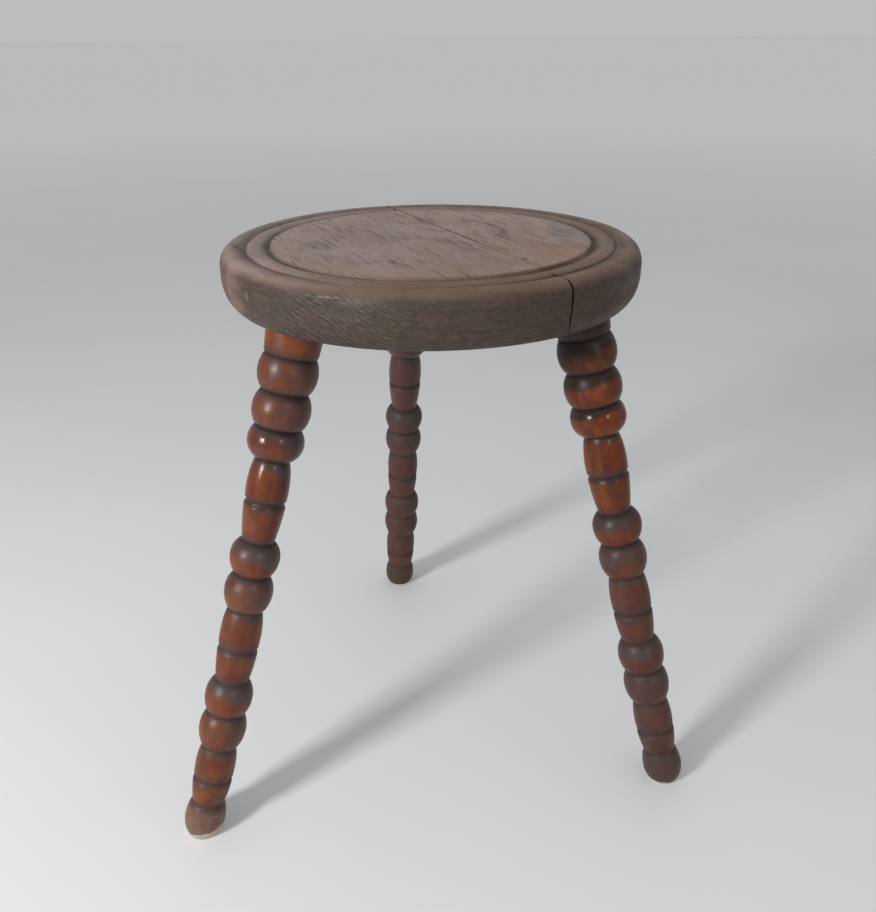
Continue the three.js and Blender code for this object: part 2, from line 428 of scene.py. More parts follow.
def edge_rounding(widest_depth, end_radius, end_depth, steps):
    points = []
    for step in range(steps + 1):
        angle = step / steps * math.pi / 2
        radius = end_radius + (SEAT_RADIUS - end_radius) * math.cos(angle)
        points.append((radius, widest_depth + (end_depth - widest_depth) * math.sin(angle)))
    return points


def smooth_outline(points, step):
    """Points every `step` along a monotone smooth curve through (radius, depth) points of falling radius."""
    radii = np.array([p[0] for p in points])[::-1]
    depths = np.array([p[1] for p in points])[::-1]
    slopes = np.gradient(depths, radii)
    rises = np.diff(depths) / np.diff(radii)
    for i in range(1, len(slopes) - 1):
        if rises[i - 1] * rises[i] <= 0:
            slopes[i] = 0
        else:
            slopes[i] = 2 * rises[i - 1] * rises[i] / (rises[i - 1] + rises[i])
    where = np.arange(radii[0], radii[-1], step)
    i = np.clip(np.searchsorted(radii, where, side="right") - 1, 0, len(radii) - 2)
    width = radii[i + 1] - radii[i]
    t = (where - radii[i]) / width
    depth = (
        (1 + 2 * t) * (1 - t) ** 2 * depths[i] + t * (1 - t) ** 2 * width * slopes[i]
        + t * t * (3 - 2 * t) * depths[i + 1] + t * t * (t - 1) * width * slopes[i + 1]
    )
    return list(zip(where[::-1], depth[::-1]))


def seat_profile():
    underside = [(radius, SEAT_THICKNESS) for radius in range(10, UNDERSIDE_RADIUS, 10)]
    lower = edge_rounding(EDGE_LOW_DEPTH, UNDERSIDE_RADIUS, SEAT_THICKNESS, 20)[::-1]
    upper = edge_rounding(EDGE_TOP_DEPTH, RIM_CREST_RADIUS, RIM_CREST_DEPTH, 20)
    side = [(SEAT_RADIUS, depth) for depth in (15.5, 14, 13)]
    rings = smooth_outline(RING_OUTLINE, 0.35)
    disc = [(radius, 0) for radius in np.arange(DISC_RADIUS - 1.6, 2, -4)]
    outline = underside + lower + side + upper + rings + disc
    points = [(0, SEAT_THICKNESS)] + outline + [(0, 0)]
    return [(radius * MM, -depth * MM) for radius, depth in points]


def seat_wear(points):
    """Small unevenness of an old turned seat: a hollowed middle, an uneven edge and worn rings."""
    radius = np.hypot(points[:, 0], points[:, 1]) / MM
    depth = -points[:, 2] / MM
    on_top = np.clip((8 - depth) / 6, 0, 1)
    dip = -HOLLOW_DEPTH * np.clip(1 - radius / HOLLOW_RADIUS, 0, 1)
    uneven = 0.12 * smooth_noise(points, 0.03, 1) + 0.06 * smooth_noise(points, 0.009, 2)
    points[:, 2] += (dip + uneven - 0.12) * on_top * MM
    on_side = np.clip((depth - 1) / 6, 0, 1)
    inwards = 0.35 * smooth_noise(points, 0.045, 3) + 0.12 * smooth_noise(points, 0.01, 4) - 0.4
    factor = 1 + np.minimum(inwards * on_side, 0) / np.maximum(radius, 20)
    points[:, :2] *= factor[:, None]
    return points


def make_seat():
    seat = turned("seat", seat_profile(), SECTORS)
    set_positions(seat, seat_wear(positions(seat)))
    seat.data.transform(Matrix.Translation(SEAT_CENTRE))
    for axis in LEG_AXES.values():
        top = axis["top"] + axis["up"] * CLEARANCE * MM
        bottom = top - axis["up"] * MORTISE_TOOL_LENGTH
        boolean(seat, rod((TENON_RADIUS + CLEARANCE) * MM, bottom, top), "DIFFERENCE")
    for node in DOWELS:
        low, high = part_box(node)
        centre = (low + high) / 2
        reach = ACROSS * (DOWEL_HALF_LENGTH + CLEARANCE * MM)
        tool = rod(DOWEL_RADIUS + CLEARANCE * MM, centre - reach, centre + reach, 32)
        boolean(seat, tool, "DIFFERENCE")
    return seat


def joint_wander(along, depth):
    """How far the open joint strays from its straight line, in millimetres: most at the front, low down."""
    front = np.clip((-along - 118) / 24, 0, 1)
    down = np.interp(depth, (0, 1, 5.8, 10, 15, 21, 23.5, 28.5, 31.5, 34, 37, 40.3),
                     (0, 0.5, 1.9, 1.3, 1.0, 1.1, 0.4, 1.0, 1.8, 2.8, 4.2, 5.2))
    return front * down + 0.15 * np.sin(along / 23)


def joint_half_gap(along, depth):
    """Half the width of the open joint, in millimetres: wide at the rim, nearly closed inside the disc."""
    front = np.clip((-along - 122) / 20, 0, 1)
    down = np.interp(depth, (0, 4, 12, 20, 24, 28, 33, 40.3), (0.15, 0.75, 0.8, 0.45, 0.65, 0.5, 0.3, 0.15))
    rear = np.clip((along + 45) / 30, 0, 1)
    return 0.06 + front * down + rear * (0.24 + 0.08 * np.sin(along / 9))


def make_board(seat, node, side, material):
    """One board: the part of the seat on one side of the joint, with its edge following the open joint."""
    board = seat.copy()
    board.data = seat.data.copy()
    bpy.context.scene.collection.objects.link(board)
    near = (JOINT_OFFSET + side * JOINT_GAP / 2) * MM
    low = SEAT_CENTRE + Vector((near if side > 0 else near - 0.5, -0.5, -0.1))
    high = SEAT_CENTRE + Vector((near + 0.5 if side > 0 else near, 0.5, 0.1))
    boolean(board, block(low, high, JOINT_ANGLE), "INTERSECT")

    points = positions(board)
    local = (points - np.array(SEAT_CENTRE)) / MM
    across = local @ np.array(ACROSS)
    along = local @ np.array(ALONG)
    depth = -local[:, 2]
    radius = np.hypot(across, along)
    add_values(board, "grain", np.column_stack([across, along, -depth]))

    # The whole edge follows the stray of the joint, turning about the seat's axis to stay in its outline
    at_joint = np.clip(1 - np.abs(across - JOINT_OFFSET) / 22, 0, 1)
    moved = across + joint_wander(along, depth) * at_joint
    on_joint = np.abs(across - near / MM) < 0.02
    moved += np.where(on_joint, side * (joint_half_gap(along, depth) - JOINT_GAP / 2), 0)
    outline = np.maximum(radius, 1) / np.maximum(np.hypot(moved, along), 1)
    moved_points = np.outer(moved * outline, np.array(ACROSS))
    moved_points += np.outer(along * outline, np.array(ALONG))
    moved_points[:, 2] = -depth
    set_positions(board, moved_points * MM + np.array(SEAT_CENTRE))

    # Dirt and painted shade in the turned rings, from 0 to 1
    add_values(board, "groove", groove_dirt_and_shade(radius, depth, np.arctan2(local[:, 1], local[:, 0])))
    finish_piece(board, node, material, sharp_degrees=35)
    return board


def groove_dirt_and_shade(radius, depth, azimuth):
    """Dirt in the turned rings together with painted shade in their grooves and on the rim's inner slope,
    from 0 to 1, weaker at the front.
    """
    front = np.exp(-((np.degrees(azimuth) + 92) / 36) ** 4)
    left = np.exp(-((np.degrees(azimuth) % 360 - 190) / 30) ** 4)
    inner = np.exp(-((radius - 120.9) / 1.8) ** 2) * (1 - 0.45 * front)
    cove = 0.55 * np.exp(-((radius - 123.8) / 2.0) ** 2) * (1 - 0.6 * front)
    outer = 0.9 * np.exp(-((radius - 137.4) / 0.9) ** 2) * (1 - 0.45 * front) * (1 - 0.4 * left)
    slope = 0.6 * np.exp(-((radius - 141) / 3.4) ** 2) * (1 - front)
    return np.clip(inner + cove + outer + slope, 0, 1) * (depth < 6)


def board_grain(shader, pith, ring_tilt):
    """The place of each point of a board and what its wood shows there.

    pith is (across, up) of the centre of the growth rings, in millimetres. The rings show as broken
    dashes on the top and as a closer hatch on the end grain.
    """
    place = shader.vector("grain")
    across, along, up = shader.split(place)
    ring_across = shader.math("SUBTRACT", across, pith[0])
    ring_up = shader.math("SUBTRACT", shader.math("MULTIPLY_ADD", along, ring_tilt, up), pith[1])
    distance = shader.length(shader.node("ShaderNodeCombineXYZ", {0: ring_across, 1: ring_up}).outputs[0])
    distance = shader.math("MULTIPLY_ADD", shader.noise(place, *RING_WAVES), 11.0, distance)
    distance = shader.math("MULTIPLY_ADD", shader.noise(place, *RING_CROWDING), 4.0, distance)
    ring = shader.math("PINGPONG", shader.math("DIVIDE", distance, RING_SPACING), 0.5)

    streaks = shader.span(shader.noise(place, *STREAKS), 0.54, 0.62)
    streak_places = shader.span(shader.noise(place, *STREAK_PLACES), 0.38, 0.52, 0.2, 1.0)
    return SimpleNamespace(
        place=place, across=across, along=along, up=up,
        turn=shader.math("ARCTAN2", along, across),
        from_axis=shader.length(shader.stretch(place, (1, 1, 0))),
        dark_line=shader.span(ring, 0.05, 0.3, 1.0, 0.0),
        pale_line=shader.span(ring, 0.36, 0.48),
        broken=shader.span(shader.noise(place, *RING_BREAKS), 0.46, 0.6),
        streaks=shader.product(streaks, streak_places),
        pores=shader.span(shader.noise(place, *PORES), 0.58, 0.72),
        fine=shader.noise(place, *FINE_GRAIN),
        dirt=shader.noise(place, *DIRT),
    )


def board_top(shader, wood, light, warm, shadow):
    """The top of a board: warm and grey places, browner turned rings, and the figure of the wood."""
    warmth = shader.span(shader.noise(wood.place, *WARM_PLACES), 0.4, 0.62)
    colour = shader.mix(warmth, light, warm)
    colour = shader.tint(colour, shader.mix(shader.span(wood.along, -110, 50), NEAR_TINT, FAR_TINT))
    colour = shader.tint(colour, shader.mix(shader.span(wood.across, -95, 0), LEFT_TINT, NO_TINT))
    grey = shader.span(shader.noise(wood.place, *GREY_PLACES), 0.5, 0.66)
    colour = shader.mix(shader.product(grey, 0.5), colour, BLOOM)

    # The turned rings round the disc are browner, most of all at the front and on the right
    in_rings = shader.span(wood.from_axis, DISC_RADIUS - 0.1, DISC_RADIUS + 3.9)
    brown = shader.product(shader.turn_span(wood.turn, -172, -125),
                           shader.turn_span(wood.turn, 10, 110, 1.0, 0.35))
    brown = shader.math("MULTIPLY_ADD", brown, 0.76, 0.1)
    colour = shader.mix(shader.product(in_rings, brown), colour, RING_BROWN)
    front = shader.product(shader.turn_span(wood.turn, -170, -120),
                           shader.turn_span(wood.turn, -65, -10, 1.0, 0.0))
    colour = shader.tint(colour, RING_FRONT_TINT, shader.product(in_rings, front))

    clean = shader.math("MULTIPLY_ADD", in_rings, -0.6, 1.0)
    colour = shader.mix(shader.product(wood.streaks, clean, 0.75), colour, shadow)
    colour = shader.mix(shader.product(wood.dark_line, wood.broken, clean, 0.3), colour, shadow)
    colour = shader.mix(shader.product(wood.pores, 0.4), colour, shadow)
    return shader.tint(colour, shader.grey(shader.span(wood.fine, 0.3, 0.7, 0.93, 1.07)))


def hatched_places(shader, wood):
    """Where the growth rings show as a hatch on the side of the rim: on the left and at the rear."""
    on_left = shader.product(shader.turn_span(wood.turn, -158, -149),
                             shader.turn_span(wood.turn, -132, -117, 1.0, 0.12))
    at_rear = shader.product(shader.turn_span(wood.turn, 50, 75),
                             shader.turn_span(wood.turn, 115, 145, 0.6, 0.0))
    worn_away = shader.span(shader.noise(wood.place, *WORN_HATCH), 0.38, 0.5, 0.2, 1.0)
    broken = shader.span(wood.broken, 0.0, 1.0, 0.35, 1.0)
    return shader.product(shader.math("MAXIMUM", on_left, at_rear), broken, worn_away)


def board_side(shader, wood, colour, hatched):
    """The side of the rim, end grain for most of the way round, which has taken in much more dirt."""
    colour = shader.mix(shader.span(wood.up, -8, 1.0, 0.95, 0.0), colour, EDGE_BROWN)
    wavy_turn = shader.math("MULTIPLY_ADD", shader.math("SUBTRACT", wood.dirt, 0.5), 0.2, wood.turn)
    started = shader.turn_span(wavy_turn, -176, -166)
    ended = shader.turn_span(wavy_turn, -25, 40, 1.0, 0.45)
    wavy_up = shader.math("MULTIPLY_ADD", wood.dirt, -5.0, wood.up)
    share = shader.product(shader.span(wavy_up, -10.0, -3.2, 1.0, 0.0), started, ended, 0.93)

    side = shader.mix(shader.turn_span(wood.turn, -130, -60), SIDE_LEFT, SIDE_RIGHT)
    patches = shader.span(shader.noise(wood.place, *SIDE_PATCHES), 0.4, 0.6)
    side = shader.tint(side, shader.mix(patches, GREY_PATCH_TINT, BROWN_PATCH_TINT))
    side = shader.mix(shader.product(wood.dark_line, hatched, 0.95), side, HATCH_DARK)
    side = shader.mix(shader.product(wood.pale_line, hatched, 0.5), side, HATCH_PALE)
    mottle = shader.span(shader.noise(wood.place, *MOTTLE), 0.32, 0.68, 0.66, 1.36)
    side = shader.tint(side, shader.grey(mottle))
    level_tone = shader.span(shader.noise(wood.place, *LEVEL_LINES), 0.35, 0.65, 0.84, 1.14)
    side = shader.tint(side, shader.grey(level_tone))
    return shader.mix(share, colour, side)


def joint_dirt(shader, wood):
    """How much dirt shows beside the open joint: most at the rear and on the front of the rim."""
    from_joint = shader.math("ABSOLUTE", shader.math("SUBTRACT", wood.across, JOINT_OFFSET))
    near_joint = shader.span(from_joint, 0.35, 1.3, 1.0, 0.0)
    rear_share = shader.span(wood.along, -75, 0, 0.35, 0.85)
    front_share = shader.span(wood.along, -149, -146.5, 0.75, 0.0)
    return shader.product(near_joint, shader.math("MAXIMUM", rear_share, front_share))


def swirl(shader, wood):
    """The dark hook in the figure of the narrow board, half of an oval line."""
    offset = shader.offset(wood.place, SWIRL_CENTRE)
    reach = shader.length(shader.stretch(offset, tuple(1 / half for half in SWIRL_HALF_AXES)))
    wavy = shader.math("MULTIPLY_ADD", wood.dirt, 0.35, shader.math("SUBTRACT", reach, 1.175))
    line = shader.span(shader.math("ABSOLUTE", wavy), 0.05, 0.24, 0.95, 0.0)
    patchy = shader.span(shader.noise(wood.place, *SWIRL_BREAKS), 0.35, 0.6, 0.4, 1.0)
    return shader.product(line, patchy, shader.span(wood.across, 46, 54))


def seat_wood(name, pith, ring_tilt, light, warm, shadow, marks, has_swirl):
    """Old open-grained wood, with its colours from light to shadow and a list of marks upon it."""
    shader = Shader(name)
    wood = board_grain(shader, pith, ring_tilt)
    hatched = hatched_places(shader, wood)
    colour = board_top(shader, wood, light, warm, shadow)
    colour = board_side(shader, wood, colour, hatched)
    # Dirt and painted shade in the turned rings, patchy with the dirt noise
    ring_dirt_and_shade = shader.product(shader.value("groove"), shader.span(wood.dirt, 0.3, 0.6, 0.75, 0.96))
    colour = shader.mix(ring_dirt_and_shade, colour, GROOVE_DIRT_AND_SHADE)
    colour = shader.mix(joint_dirt(shader, wood), colour, JOINT_DIRT)
    for centre, size, share, tint in marks:
        colour = shader.mix(shader.product(shader.near(wood.place, centre, size), share), colour, tint)
    if has_swirl:
        colour = shader.mix(swirl(shader, wood), colour, shadow)

    relief = shader.math("MULTIPLY_ADD", wood.pores, -0.4, wood.fine)
    relief = shader.math("MULTIPLY_ADD", wood.streaks, -0.6, relief)
    relief = shader.math("MULTIPLY_ADD", shader.product(wood.dark_line, hatched), -0.4, relief)
    polished = shader.near(wood.place, *POLISHED_SPOT)
    normal = shader.bump(relief, WOOD_RELIEF, shader.math("MULTIPLY_ADD", polished, -0.35, 0.5))
    worn = shader.span(wood.dirt, 0.35, 0.65, 0.46, 0.62)
    worn = shader.math("MULTIPLY_ADD", polished, -0.3, worn)
    shader.set(Base_Color=colour, Roughness=worn, Normal=normal, Specular_IOR_Level=SEAT_SHEEN)
    return shader.material


# Stains and damage: centre and half size in millimetres across, along and up; share; colour
DARK = (0.03, 0.024, 0.02)
WIDE_MARKS = [
    ((-137.5, 43, 0), (2.2, 4, 4), 0.9, DARK),
    ((-136, 36, 0), (1.6, 3, 4), 0.75, DARK),
    ((-139, 50, 0), (1.5, 3, 4), 0.5, DARK),
    ((24, -136.5, 0), (2.4, 5, 4), 1.0, DARK),
    ((-153, -36, -17), (4, 1.3, 3.0), 0.6, (0.19, 0.14, 0.1)),
    ((-12, -152, -33), (0.7, 3, 6), 0.7, DARK),
    ((-10, -95, 0), (34, 18, 4), 0.4, (0.22, 0.15, 0.09)),
    ((-95, -30, 0), (20, 40, 4), 0.25, (0.28, 0.205, 0.15)),
]
NARROW_MARKS = [
    ((60, -86, 0), (24, 20, 4), 0.5, (0.29, 0.165, 0.10)),
    ((28, -91, 0), (1.3, 3.2, 3), 0.85, DARK),
    ((26.5, -138, 0), (1.8, 5, 4), 1.0, DARK),
    ((50, -36, 0), (1.6, 16, 3), 0.45, (0.13, 0.09, 0.075)),
    ((90, -33, 0), (1.5, 9, 3), 0.5, (0.13, 0.09, 0.075)),
    ((62, -66, 0), (1.5, 12, 3), 0.45, (0.13, 0.09, 0.075)),
]


# ---------------------------------------------------------------- legs

def leg_axis(node):
    """Foot, top of the tenon and direction of a leg, read from its CAD node and its sole mount."""
    top_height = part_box(node)[1].z
    end = {tuple(round(c, 6) for c in v.co) for v in frame["nodes"][node].data.vertices
           if v.co.z > top_height - TENON_END_DEPTH * MM}
    top = Vector(np.mean(sorted(end), axis=0))
    up = (top - LEG_SOLES[node]).normalized()
    ball = LEG_SOLES[node] + up * (FOOT_HEIGHT * MM / up.z)
    return {"top": top, "up": up, "ball": ball}


def half_bead(crest, valley, arc=BEAD_ARC, steps=12):
    """(height, radius) points from just after the crest of a bead to the valley beside it."""
    points = []
    for step in range(1, steps + 1):
        angle = step / steps * arc
        along = math.sin(angle) / math.sin(arc)
        drop = (1 - math.cos(angle)) / (1 - math.cos(arc))
        height = crest[0] + (valley[0] - crest[0]) * along
        points.append((height, crest[1] + (valley[1] - crest[1]) * drop))
    return points


def taper(start, end, swell, steps=10):
    points = []
    for step in range(1, steps + 1):
        t = step / steps
        radius = start[1] + (end[1] - start[1]) * t + swell * math.sin(math.pi * t)
        points.append((start[0] + (end[0] - start[0]) * t, radius))
    return points


def barrel(low, groove, wide, high):
    lip = wide[1] - 0.35
    lower_lip = groove - GROOVE_HALF_WIDTH
    points = taper(low, (lower_lip - LIP_ROUNDING, lip), 0.5)
    points += half_bead(points[-1], (lower_lip, lip - 0.5), math.pi / 3, 6)
    for step in range(1, 8):
        t = step / 8
        cut = GROOVE_DEPTH * math.sin(math.pi * t) ** 0.6
        rounded = 0.5 * (1 - t) ** 4
        points.append((groove + GROOVE_HALF_WIDTH * (2 * t - 1), lip - max(cut, rounded)))
    points.append((groove + GROOVE_HALF_WIDTH, lip))
    points.append(wide)
    return points + half_bead(wide, high, BARREL_ARC)


def leg_profile():
    under = half_bead(FOOT_BALL, (-FOOT_BALL_UNDER, 0), math.pi / 2)[::-1]
    points = under + [FOOT_BALL] + half_bead(FOOT_BALL, ANKLE)
    for shape, beads in zip(BARRELS, BEADS):
        points += barrel(**shape)
        valley = shape["high"]
        for crest, beyond in beads:
            points += half_bead(crest, valley)[::-1][1:] + [crest] + half_bead(crest, beyond)
            valley = beyond
    points += [CUP_BOTTOM] + taper(CUP_BOTTOM, CUP_TOP, 0.3) + [(CUP_TOP[0], 0)]
    return [(radius * MM, height * MM) for height, radius in points]


def leg_valleys():
    """The dark lines of a leg: height, half width and how square each band is."""
    lines = [(ANKLE[0], 2.3, 1.5), (CUP_BOTTOM[0] - 1.5, 1.6, 1.5)]
    for shape, beads in zip(BARRELS, BEADS):
        lines += [(shape["groove"], 2.7, 4), (shape["high"][0], 2.2, 1.5)]
        lines += [(beyond[0], 2.1, 1.5) for _, beyond in beads]
    return lines


def leg_wear(points, seed, girth, bow):
    """Hand-turned unevenness: a faint bow of `bow` millimetres, slightly oval beads and small dents."""
    rng = np.random.default_rng(seed)
    height = points[:, 2] / MM
    turn = np.arctan2(points[:, 1], points[:, 0])
    oval = 1 + 0.006 * np.cos(2 * (turn - rng.uniform(0, math.pi)) + height / 60)
    uneven = 1 + 0.006 * smooth_noise(points, 0.02, seed)
    points[:, :2] *= (oval * uneven * girth)[:, None]
    radius = np.hypot(points[:, 0], points[:, 1])
    for _ in range(26):
        where, side, size = rng.uniform(10, 400), rng.uniform(0, 2 * math.pi), rng.uniform(1.2, 2.6)
        apart = np.hypot(height - where, np.angle(np.exp(1j * (turn - side))) * radius / MM)
        dent = 0.3 * np.exp(-((apart / size) ** 2)) * MM
        points[:, :2] *= (1 - dent / np.maximum(radius, 1 * MM))[:, None]
    bent = np.sin(np.pi * np.clip(height / 420, 0, 1)) * MM
    points[:, :2] += np.outer(bent, bow)
    return points


def stain_and_side_shade(height, sideways, stains):
    """Age-darkened varnish that starts at each given height and fades out going down, from 0 to 1.

    sideways is -1 to 1; the stains reach further down where it is above 0, and there the leg is also
    darkened a little all over: painted shade on the side of the left and rear legs turned from the window.
    """
    dark = np.zeros(len(height))
    for top, reach, share in stains:
        down = (top - height - 4 * sideways) / reach
        dark = np.maximum(dark, np.where(height > top + 0.5, 0, share * np.clip(1.75 - down, 0, 1)))
    return dark + 0.3 * np.clip(sideways, 0, 1)


def make_leg(node, seed, girth, bow, dark_side, worn_sole, stains, material):
    """One leg. bow is sideways along X and worn_sole the height of its bare edge, both in millimetres."""
    axis = LEG_AXES[node]
    place = Matrix.Translation(axis["ball"]) @ axis["up"].to_track_quat("Z", "Y").to_matrix().to_4x4()
    leg = turned(node, leg_profile(), LEG_SECTORS)
    sideways = np.array(place.inverted().to_3x3() @ Vector((bow, 0, 0)))[:2]
    set_positions(leg, leg_wear(positions(leg), seed, girth, sideways))
    leg.data.transform(place)
    shoulder = SEAT_CENTRE.z - (SEAT_THICKNESS + CLEARANCE) * MM
    boolean(leg, block((-1, -1, 0), (1, 1, shoulder)), "INTERSECT")
    tenon_start = axis["top"] - axis["up"] * (TENON_LENGTH + TENON_ROOT) * MM
    boolean(leg, rod(TENON_RADIUS * MM, tenon_start, axis["top"], 48), "UNION")

    points = positions(leg)
    inverse = np.array(place.inverted())
    local = (points @ inverse[:3, :3].T + inverse[:3, 3]) / MM
    height = local[:, 2]
    valley = np.zeros(len(points))
    for where, width, square in leg_valleys():
        apart = np.abs(height - where) / width
        valley = np.maximum(valley, np.exp(-apart ** square))
        valley = np.maximum(valley, 0.22 * np.exp(-(apart / 2.6) ** 2))
    add_values(leg, "grain", local)
    add_values(leg, "valley", valley)
    # dark_side times the normal's X: on the left and rear legs this adds painted shade to their right sides,
    # away from the window; on the right leg it darkens the stain on its left
    add_values(leg, "stain_and_side_shade", stain_and_side_shade(height, dark_side * normals(leg)[:, 0], stains))
    bare_edge = worn_sole * (1 + 0.25 * normals(leg)[:, 0])
    add_values(leg, "sole", np.clip((bare_edge - points[:, 2] / MM) / 1.8 + 0.5, 0, 1))
    add_values(leg, "foot", np.clip((14 - height) / 6, 0, 1))
    finish_piece(leg, node, material, sharp_degrees=38)
    return leg


def varnish(shader, grain, height, blotch, haze):
    """The colour of the varnish before stains and dirt, hazier low or high on the leg as haze says."""
    figure = shader.noise(grain, *FIGURE)
    fibres = shader.noise(grain, *FIBRES)
    cloud = shader.noise(grain, *CLOUD)
    colour = shader.mix(shader.span(figure, 0.35, 0.65), VARNISH_RED, VARNISH_BROWN)
    colour = shader.mix(shader.product(shader.span(cloud, 0.45, 0.65), 0.6), colour, VARNISH_GOLD)
    colour = shader.mix(shader.product(shader.span(fibres, 0.5, 0.75), 0.18), colour, VARNISH_FIBRE)
    colour = shader.mix(shader.product(shader.span(blotch, 0.38, 0.76), 0.6), colour, VARNISH_MAROON)
    return shader.mix(shader.span(height, 120, 330, *haze), colour, VARNISH_HAZE)


def leg_wood(name, seed, haze, stains, worm_holes, foot_colour, sheen, roughness):
    """Red-brown varnish over turned wood: clear on the barrels, dark with age in and above the valleys.

    haze is how far the varnish has dulled low on the leg and high on it, from 0 to 1, and stains is the
    colour of its age stains in the same two places, also used for the painted shade on the side of the left
    and rear legs turned from the window.
    """
    shader = Shader(name)
    place = shader.vector("grain")
    height = shader.split(place)[2]
    grain = shader.node("ShaderNodeVectorMath", {0: place, 1: (seed * 91.0, 0, seed * 37.0)},
                        operation="ADD").outputs[0]
    blotch = shader.noise(grain, *BLOTCH)
    colour = varnish(shader, grain, height, blotch, haze)

    # Age-darkened varnish on the upper part of the beads, and painted shade on the side of the left and rear
    # legs turned from the window
    stain_and_shade_amount = shader.value("stain_and_side_shade")
    stain_and_shade_share = shader.math("MULTIPLY_ADD", shader.math("SUBTRACT", blotch, 0.5), 0.6, stain_and_shade_amount)
    stain_and_shade_share = shader.product(shader.span(stain_and_shade_share, 0.12, 0.95, 0.0, 0.95), shader.span(stain_and_shade_amount, 0.0, 0.3))
    colour = shader.mix(stain_and_shade_share, colour, shader.mix(shader.span(height, 180, 345), *stains))
    worn_foot = shader.product(shader.value("foot"), shader.span(blotch, 0.3, 0.65, 0.35, 0.85))
    colour = shader.mix(worn_foot, colour, foot_colour)

    # Dust and dirt in the valleys, and the bare edge of the sole
    in_valley = shader.value("valley")
    colour = shader.mix(shader.product(shader.span(in_valley, 0.04, 0.3), 0.45), colour, DUST)
    valley = shader.product(in_valley, shader.span(blotch, 0.2, 0.6, 0.96, 0.8),
                            shader.span(height, 40, 220, 0.65, 1.0))
    valley_colour = shader.mix(shader.span(height, 150, 340), LOW_VALLEY, HIGH_VALLEY)
    colour = shader.mix(valley, colour, valley_colour)
    sole_edge = shader.math("ADD", shader.value("sole"), shader.span(blotch, 0.3, 0.7, -0.35, 0.25))
    sole = shader.span(sole_edge, 0.35, 0.6)
    colour = shader.mix(sole, colour, BARE_SOLE)
    hole = 0.0
    for centre, radius, darkness in worm_holes:
        mark = shader.product(shader.near(place, centre, (radius, radius, radius)), darkness)
        hole = shader.math("MAXIMUM", hole, mark)
    colour = shader.mix(hole, colour, WORM_HOLE)

    # Fine tool rings and an orange-peel varnish, glossier on the upper barrel and the bead above it
    relief = shader.product(shader.noise(grain, *TOOL_RINGS), 0.7)
    relief = shader.math("MULTIPLY_ADD", shader.noise(grain, *PEEL), 0.4, relief)
    relief = shader.math("MULTIPLY_ADD", hole, -2.0, relief)
    gloss_in, gloss_out = GLOSSY_BAND
    glossy = shader.product(shader.span(height, *gloss_in), shader.span(height, *gloss_out, 1.0, 0.0))
    normal = shader.bump(relief, WOOD_RELIEF, shader.math("MULTIPLY_ADD", glossy, -0.22, 0.45))
    dull = shader.math("MAXIMUM", shader.product(stain_and_shade_share, 0.2), sole)
    dull = shader.math("MAXIMUM", dull, in_valley)
    clear = shader.span(blotch, 0.3, 0.7, roughness, roughness + 0.13)
    clear = shader.math("ADD", clear, shader.math("MULTIPLY_ADD", glossy, -0.17, 0.17))
    rough = shader.math("MULTIPLY_ADD", dull, 0.24, clear)
    shader.set(Base_Color=colour, Roughness=rough, Normal=normal, Specular_IOR_Level=sheen)
    return shader.material


# Age stains: the height each starts at, how far down it reaches, both in millimetres, and its strength
# Stain colours low and high on each leg. On the left and rear legs they also colour the painted shade on the
# side turned from the window, and the left leg's violet-grey high colour is a painted sheen as well.
LEFT_STAIN_SHADE_AND_SHEEN_COLOURS = ((0.07, 0.045, 0.035), (0.056, 0.039, 0.04))
RIGHT_STAIN_COLOURS = ((0.066, 0.042, 0.038), (0.022, 0.0125, 0.0085))
REAR_STAIN_AND_SHADE_COLOURS = ((0.055, 0.033, 0.027), (0.036, 0.026, 0.026))
LEFT_STAINS = [
    (386.4, 60, 0.42), (333.2, 5, 0.7), (308.5, 4, 0.7), (244.5, 10, 0.9), (216.7, 22, 0.45),
    (187.3, 3, 0.6), (127, 9, 0.85), (97.8, 20, 0.38), (67, 3, 0.5), (15.5, 5, 0.4),
]
RIGHT_STAINS = [
    (435, 53, 0.95), (386.4, 8.5, 1.0), (386.4, 25, 0.3), (359.8, 6.5, 1.0), (333.2, 4, 0.9),
    (244.5, 8, 1.0), (216.7, 14, 0.6), (187.3, 70, 0.25), (127, 9, 0.95), (97.8, 18, 0.6),
    (67, 40, 0.4), (15.5, 20, 0.9),
]
REAR_STAINS = [
    (386.4, 11, 1.0), (333.2, 10, 0.9), (308.5, 5, 0.6), (244.5, 12, 1.0), (216.7, 12, 0.8),
    (187.3, 6, 0.6), (127, 10, 1.0), (97.8, 10, 0.9), (67, 5, 0.6), (15.5, 16, 1.0),
]

# Worm holes, on the front right leg only: the place on the leg, the radius in millimetres and how dark
RIGHT_HOLES = [
    ((15.9, 3.5, 287.9), 1.0, 0.9), ((16.4, 1.5, 286.0), 0.7, 0.5), ((16.2, 2.7, 284.5), 0.7, 0.4),
    ((9.3, 12.2, 55.3), 1.0, 0.7), ((10.3, 11.9, 50.9), 0.9, 0.7), ((10.6, 9.2, 21.5), 1.1, 0.9),
    ((12.3, 5.4, 18.3), 1.1, 0.35),
]


# ---------------------------------------------------------------- dowels

def dowel_wood():
    shader = Shader("dowel_wood")
    place = shader.node("ShaderNodeNewGeometry", {}).outputs["Position"]
    grain = shader.noise(place, (500, 900, 900), 3.0, 0.6)
    colour = shader.mix(shader.span(grain, 0.35, 0.65), (0.55, 0.38, 0.2), (0.4, 0.25, 0.12))
    normal = shader.bump(grain, 0.0002, 0.5)
    shader.set(Base_Color=colour, Roughness=0.7, Normal=normal)
    return shader.material


# ---------------------------------------------------------------- stage

